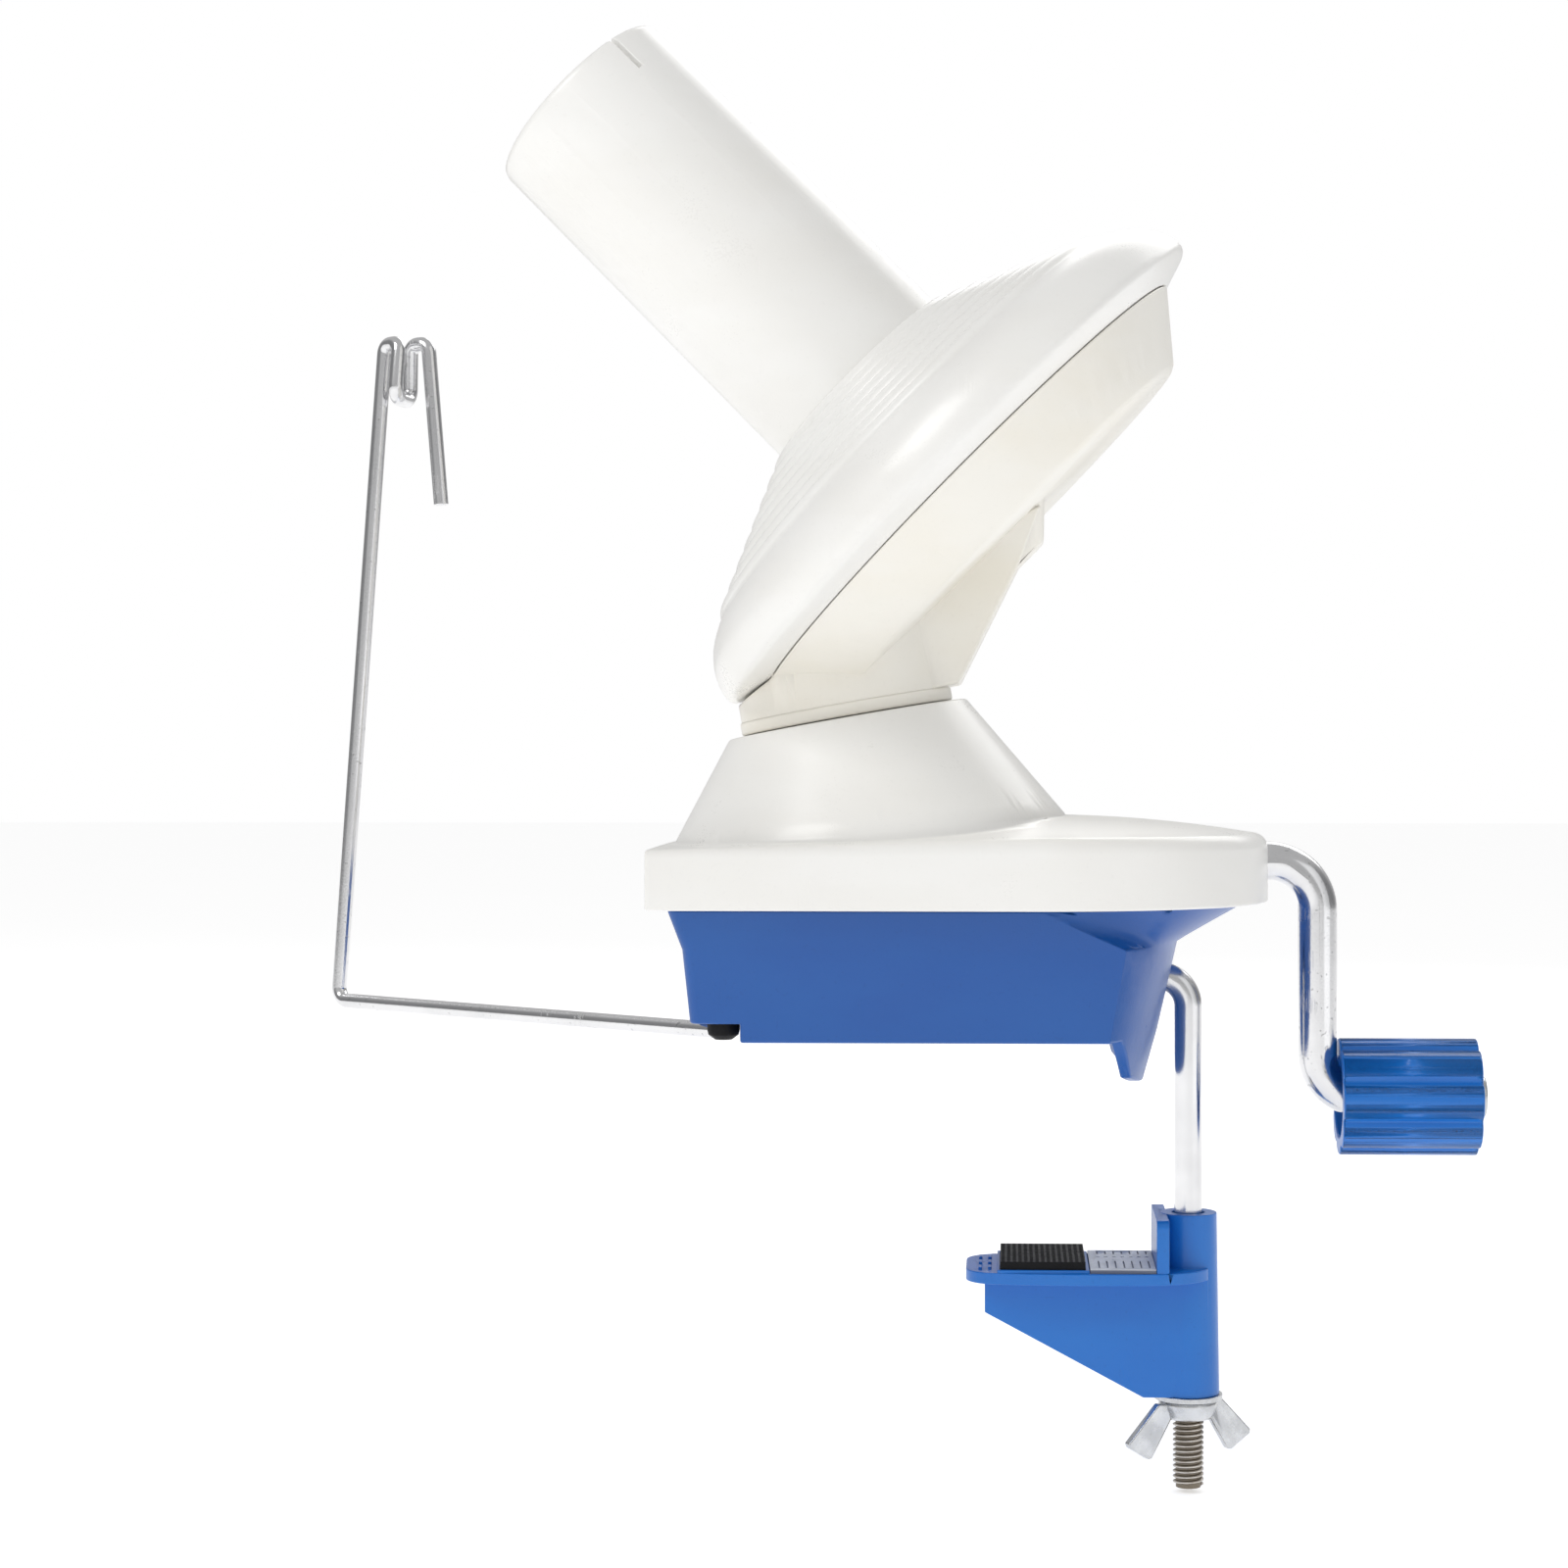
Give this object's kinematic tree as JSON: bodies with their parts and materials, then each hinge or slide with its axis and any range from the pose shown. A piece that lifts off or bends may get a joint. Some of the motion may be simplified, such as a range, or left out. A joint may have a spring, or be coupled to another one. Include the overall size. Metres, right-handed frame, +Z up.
{
  "type": "ball winder",
  "caption": "Hand-cranked ball winder: inclined geared winding cone on a table-clamped base, with a bent wire yarn guide and a cranked rod with a fluted grip.",
  "frame": {"origin": "on the flat underside of the base where it rests on the table, in the middle plane", "axes": "+Z up from the table, +X towards the crank and the clamp, +Y across the base"},
  "size_m": [0.2318, 0.1236, 0.2825],
  "materials": {
    "white_plastic": "glossy moulded",
    "cream_plastic": "semi-gloss moulded",
    "blue_plastic": "semi-gloss moulded",
    "blue_light": "semi-gloss moulded",
    "gear_nylon": "natural nylon",
    "bush_nylon": "satin nylon",
    "chrome_rod": "polished plating",
    "zinc_screw": "zinc plated",
    "bracket_steel": "satin",
    "black_rubber": "matte",
    "grey_strip": "satin"
  },
  "bodies": {
    "base": {"top_cover": "white_plastic", "lower_housing": "blue_plastic", "housing_screws": "zinc_screw", "axle_bracket": "bracket_steel", "bracket_screws": "zinc_screw", "head_axle": "chrome_rod", "sun_gear": "gear_nylon", "sun_gear_screw": "zinc_screw", "head_bush": "bush_nylon", "crank_bearing": "bush_nylon", "bearing_screws": "zinc_screw", "crank_bush": "bush_nylon", "clamp_rod": "chrome_rod", "clamp_rod_nuts": "zinc_screw"},
    "crank": {"crank_rod": "chrome_rod", "crown_gear": "gear_nylon", "crown_gear_screw": "zinc_screw", "shaft_collar": "bush_nylon", "collar_screw": "zinc_screw", "grip_screw": "zinc_screw"},
    "grip": {"grip": "blue_light"},
    "head": {"rotor_arm": "cream_plastic", "rotor_hub": "gear_nylon", "pinion": "gear_nylon", "thrust_washer": "bush_nylon", "spool_axle": "chrome_rod", "spool_retainer": "zinc_screw"},
    "spool": {"winding_tube": "white_plastic", "spool_flange": "white_plastic", "spool_gear": "gear_nylon", "spool_gear_screws": "zinc_screw"},
    "yarn_guide": {"yarn_guide_wire": "chrome_rod", "guide_cap": "black_rubber", "guide_retainer": "zinc_screw"},
    "clamp_jaw": {"clamp_block": "blue_light", "clamp_pad": "black_rubber", "grip_strip": "grey_strip", "clamp_washer": "zinc_screw"},
    "wing_nut": {"wing_nut": "zinc_screw"}
  },
  "joints": [
    {"name": "crank_turn", "type": "hinge", "parent": "base", "child": "crank", "pos_m": [0.08, 0, 0.032], "axis": [1, 0, 0], "continuous": true},
    {"name": "grip_spin", "type": "hinge", "parent": "crank", "child": "grip", "pos_m": [0.0972, 0, -0.0134], "axis": [1, 0, 0], "continuous": true},
    {"name": "head_turn", "type": "hinge", "parent": "base", "child": "head", "pos_m": [-0.0108, 0, 0.0594], "axis": [-0.1736, 0, 0.9848], "continuous": true},
    {"name": "spool_spin", "type": "hinge", "parent": "head", "child": "spool", "pos_m": [0.0102, 0, 0.1062], "axis": [-0.7071, 0, 0.7071], "continuous": true},
    {"name": "guide_swing", "type": "hinge", "parent": "base", "child": "yarn_guide", "pos_m": [-0.032, -0.032, 0.008], "axis": [0, 0, 1], "range_deg": [-2, 128]},
    {"name": "jaw_slide", "type": "slide", "parent": "base", "child": "clamp_jaw", "axis": [0, 0, 1], "range_m": [-0.00805, 0.02205]},
    {"name": "wing_nut_turn", "type": "hinge", "parent": "clamp_jaw", "child": "wing_nut", "pos_m": [0.0551, 0, -0.0735], "axis": [0, 0, 1], "range_deg": [-2880, 7920]}
  ],
  "couplings": [
    {"joint": "head_turn", "follows": "crank_turn", "ratio": -4},
    {"joint": "spool_spin", "follows": "crank_turn", "ratio": -0.96296},
    {"joint": "jaw_slide", "follows": "wing_nut_turn", "m_per_rad": 0.00015915}
  ]
}
